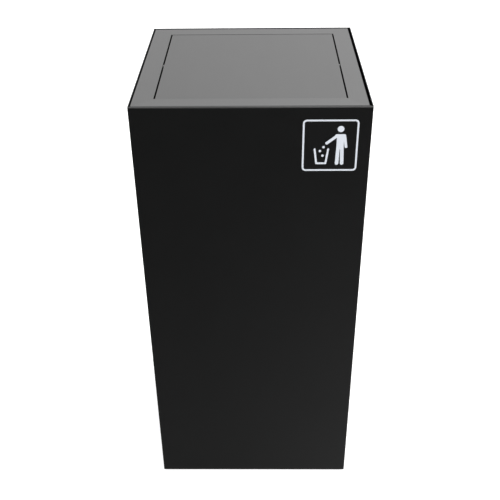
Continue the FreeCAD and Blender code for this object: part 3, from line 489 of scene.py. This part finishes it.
def weld_runners():
    """Spot welds along both feet of each runner."""
    sheet, foot_middle, count = 1.5 * MM, 5.0 * MM, 5
    forms = []
    for name in SIDES:
        low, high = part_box(f"base_runner_{name}")
        for x in (low.x + foot_middle, high.x - foot_middle):
            forms += spots([(x, y, low.z + sheet) for y in between(low.y, high.y, count)],
                           UP, ACROSS)
    add("runner_spot_welds", forms, "casing", "galvanised_sheet")


def weld_top():
    """Beads under the mitres of the top and down the corners of its skirt."""
    bars = {name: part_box(f"top_bar_{name}") for name in (*SIDES, *ENDS)}
    low, high = bars["front"][0], bars["rear"][1]
    opening = {"left": bars["left"][1].x, "right": bars["right"][0].x,
               "front": bars["front"][1].y, "rear": bars["rear"][0].y}
    outside = {"left": low.x, "right": high.x, "front": low.y, "rear": high.y}
    under, foot = high.z - TOP_SHEET, low.z + TOP_SHEET * 2.0
    inset, margin = TOP_SHEET + 1.2 * MM, 2.0 * MM
    forms = []
    for side_name, side in SIDES.items():
        for end_name, end in ENDS.items():
            x, y = outside[side_name] - inset * side, outside[end_name] - inset * end
            corner = (x, y, under)
            inner = (opening[side_name] + margin * side, opening[end_name] + margin * end, under)
            forms.append(bead_between(corner, inner, DOWN, MITRE_BEAD))
            forms.append(bead_between((x, y, foot), corner, (-side, -end, 0.0), MITRE_BEAD))
    add("top_mitre_welds", forms, "lid", "bracket_paint")


def weld_brackets():
    """A bead at both ends of each pivot bracket, and stitches along the stop rail."""
    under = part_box("top_bar_front")[1].z - TOP_SHEET
    outwards, rail_stitch, rail_count = 2.0 * MM, 22.0 * MM, 3
    forms = []
    for name, side in SIDES.items():
        low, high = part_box(f"pivot_bracket_{name}")
        middle = [(low.x + high.x) / 2.0 + side * outwards]
        for end, y in ((-1.0, low.y), (1.0, high.y)):
            forms += stitches(y, under, middle, LUG_STITCH, end)
    low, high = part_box("flap_stop")
    forms += stitches(high.y, under, between(low.x, high.x, rail_count), rail_stitch, 1.0)
    add("bracket_welds", forms, "lid", "bracket_paint")


def weld_flap():
    """Stitches along the stiffeners and the hanger, and a bead at both ends of each lug."""
    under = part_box("flap_panel")[0].z
    length, count = 20.0 * MM, 3
    forms = []
    for node, end in (("flap_stiffener_front", -1.0), ("flap_stiffener_rear", 1.0),
                      ("weight_hanger", 1.0)):
        low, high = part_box(node)
        edge = low.y if end < 0.0 else high.y
        forms += stitches(edge, under, between(low.x, high.x, count), length, end)
    for name in SIDES:
        low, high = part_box(f"pivot_lug_{name}")
        for end, y in ((-1.0, low.y), (1.0, high.y)):
            forms += stitches(y, under, [(low.x + high.x) / 2.0], LUG_STITCH, end)
    add("flap_welds", forms, "flap", "bracket_paint")


# ---------------------------------------------------------------- moulded pieces

FOOT_SEGMENTS = 64
GRIP_SEGMENTS = 40
RIB_POINTS = 12


def arc(centre, radius, start, stop, count=6):
    """Points of a round corner, as radius and height, between two angles in degrees."""
    angle = np.radians(np.linspace(start, stop, count))
    return list(zip(centre[0] + radius * np.cos(angle), centre[1] + radius * np.sin(angle)))


def make_feet():
    """Rubber feet with three rings of tread, a rolled lip and a counterbore for the screw.

    The profile runs in along the counterbore's floor, up the bore, out along the top, down the
    drafted side and back in along the tread, whose grooves are narrower at their roots.
    """
    bore, counterbore, depth = 3.0 * MM, 7.0 * MM, 8.0 * MM
    groove, root, groove_depth, rings = 0.9 * MM, 0.9 * MM * 0.6, 1.3 * MM, 3
    outer_margin, inner_margin = 2.6 * MM, 2.2 * MM
    lip, taper, draft = 1.4 * MM, 3.0 * MM, 8.0
    for end_name in ENDS:
        for side_name in SIDES:
            node = f"rubber_foot_{end_name}_{side_name}"
            low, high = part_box(node)
            middle = (low + high) / 2.0
            tall = high.z - low.z
            top_radius = (high.x - low.x) / 2.0
            low_radius = top_radius - taper
            profile = [(counterbore, depth), (bore, depth), (bore, tall)]
            profile += arc((top_radius - lip, tall - lip), lip, 90.0, -draft)
            profile += arc((low_radius - lip, lip), lip, -draft, -90.0)
            for ring in np.linspace(low_radius - outer_margin, counterbore + inner_margin, rings):
                profile += [(ring + groove, 0.0), (ring + root, groove_depth),
                            (ring - root, groove_depth), (ring - groove, 0.0)]
            profile += [(counterbore, 0.0)]
            form = turned(profile[::-1], FOOT_SEGMENTS, closed=True)
            add(f"foot_pad_{end_name}_{side_name}",
                [stood(form, (middle.x, middle.y, low.z), UP, ACROSS)], "casing", "rubber", node)


def make_grips():
    """Moulded grips: end collars, and between them ribs whose height follows a cosine."""
    bore, collar, step, round_off = 2.5 * MM, 4.0 * MM, 0.4 * MM, 1.2 * MM
    ribs, rib_height, sink = 9, 0.55 * MM, 0.5 * MM
    for name in SIDES:
        node = f"bail_grip_{name}"
        low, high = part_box(node)
        middle = (low + high) / 2.0
        radius = (high.z - low.z) / 2.0
        half = (high.y - low.y) / 2.0
        ribbed = half - collar
        run = np.linspace(-ribbed, ribbed, ribs * RIB_POINTS + 1)
        phase = (run + ribbed) / (2.0 * ribbed) * ribs * 2.0 * np.pi
        waist = radius - sink - rib_height * (1.0 - np.cos(phase))
        profile = [(bore, -half)]
        profile += arc((radius - round_off, round_off - half), round_off, -90.0, 0.0)
        profile += [(radius, -ribbed - step)] + list(zip(waist, run)) + [(radius, ribbed + step)]
        profile += arc((radius - round_off, half - round_off), round_off, 0.0, 90.0)
        profile += [(bore, half)]
        form = turned(profile, GRIP_SEGMENTS, closed=True)
        add(f"ribbed_grip_{name}", [stood(form, middle, BACK, ACROSS)],
            f"bail_{name}", "grip_plastic", node)


# ---------------------------------------------------------------- camera, floor and light

CAMERA_PLACE = (0.0141, -1.2156, 1.2106)
CAMERA_TILT = 33.68
CAMERA_TURN = 0.92
CAMERA_ROLL = -0.66
CAMERA_LENS = 56.77
FLOOR_HALF = 9.0
FLOOR_GLOW = 0.55

# Where each part of the studio starts and is full, along the way up, back or right.
HORIZON = (0.0, 0.2)
CURVED_WALL = (0.2, 0.6)
UPPER_WALL = (0.36, 0.6)
CEILING = (0.6, 0.95)
BACK_WALL = (-0.2, 0.75)
RIGHT_WALL = (0.2, 0.7)
GROUND = (0.35, 0.9)
GROUND_RIGHT = (-0.1, 0.35)


def make_camera():
    """A look down at the front and the top, turned and rolled by under a degree."""
    data = bpy.data.cameras.new("camera")
    data.lens = CAMERA_LENS
    camera = bpy.data.objects.new("camera", data)
    turn = Matrix.Rotation(math.radians(CAMERA_TURN), 4, "Z")
    tilt = Matrix.Rotation(math.radians(90.0 - CAMERA_TILT), 4, "X")
    roll = Matrix.Rotation(math.radians(CAMERA_ROLL), 4, "Z")
    camera.matrix_world = Matrix.Translation(CAMERA_PLACE) @ turn @ tilt @ roll
    bpy.context.scene.collection.objects.link(camera)
    bpy.context.scene.camera = camera


def make_floor():
    """A wide pale floor that glows a little, so that the ground stays white round the bin."""
    mesh = bpy.data.meshes.new("floor")
    corners = [(-1, -1, 0), (1, -1, 0), (1, 1, 0), (-1, 1, 0)]
    mesh.from_pydata([Vector(c) * FLOOR_HALF for c in corners], [], [(0, 1, 2, 3)])
    floor = bpy.data.objects.new("floor", mesh)
    bpy.context.scene.collection.objects.link(floor)
    finish = Finish("floor_white")
    shader = finish.node("ShaderNodeBsdfPrincipled", {},
                         {"Base Color": grey(0.8), "Roughness": 0.9, "Specular IOR Level": 0.0,
                          "Emission Color": grey(1.0), "Emission Strength": FLOOR_GLOW})
    finish.end("ShaderNodeOutputMaterial", shader)
    mesh.materials.append(finish.material)
    floor.visible_glossy = False


def make_world():
    """Bright behind and above, dim in front and dark below the horizon; white to the camera.

    Above the horizon the brightness is the product of four shares: more towards the back, more
    up the curved wall, less at the ceiling and more towards the right. Below it, the ground is
    nearly black at the horizon and brighter straight down and towards the right.
    """
    world = bpy.data.worlds.new("studio")
    bpy.context.scene.world = world
    sky = Tree(world)
    direction = sky.node("ShaderNodeTexCoord", {}, {}, output="Generated")
    right = sky.part_of(direction, 0)
    back = sky.part_of(direction, 1)
    up = sky.part_of(direction, 2)
    above = sky.smooth_step(up, *HORIZON)
    depth = 0.4 + 0.82 * sky.smooth_step(back, *BACK_WALL)
    rise = sky.smooth_step(up, *CURVED_WALL) + 0.5 * sky.smooth_step(up, *UPPER_WALL)
    dimmed = 1.0 - 0.5 * sky.smooth_step(up, *CEILING)
    side = 0.98 + 0.57 * right + 0.4 * sky.smooth_step(right, *RIGHT_WALL)
    wall = above * depth * (1.0 + 1.8 * rise) * dimmed * side
    ground = 0.013 + 0.38 * sky.smooth_step(-1.0 * up, *GROUND)
    ground = ground * (0.61 + 1.75 * sky.smooth_step(right, *GROUND_RIGHT))
    strength = wall + ground * (1.0 - above)
    glow = sky.node("ShaderNodeBackground", {}, {"Strength": strength})
    plain = sky.node("ShaderNodeBackground", {}, {"Color": grey(1.0)})
    seen = sky.node("ShaderNodeLightPath", {}, {}, output="Is Camera Ray")
    both = sky.node("ShaderNodeMixShader", {}, {0: seen, 1: glow, 2: plain})
    sky.end("ShaderNodeOutputWorld", both)


def make_lamp():
    """One large square lamp in front of the bin, which faces the middle of its front."""
    place, aim, width, power = Vector((0.5, -2.6, 2.3)), Vector((0.0, 0.0, 0.4)), 1.6, 30.0
    data = bpy.data.lights.new("front_box", "AREA")
    data.size = width
    data.energy = power
    lamp = bpy.data.objects.new("front_box", data)
    lamp.location = place
    lamp.rotation_euler = (aim - place).to_track_quat("-Z", "Y").to_euler()
    bpy.context.scene.collection.objects.link(lamp)


paint_nodes()
weld_liner()
weld_ledges()
weld_runners()
weld_top()
weld_brackets()
weld_flap()
make_feet()
make_grips()
make_camera()
make_floor()
make_world()
make_lamp()
bpy.context.scene.view_settings.view_transform = "Standard"
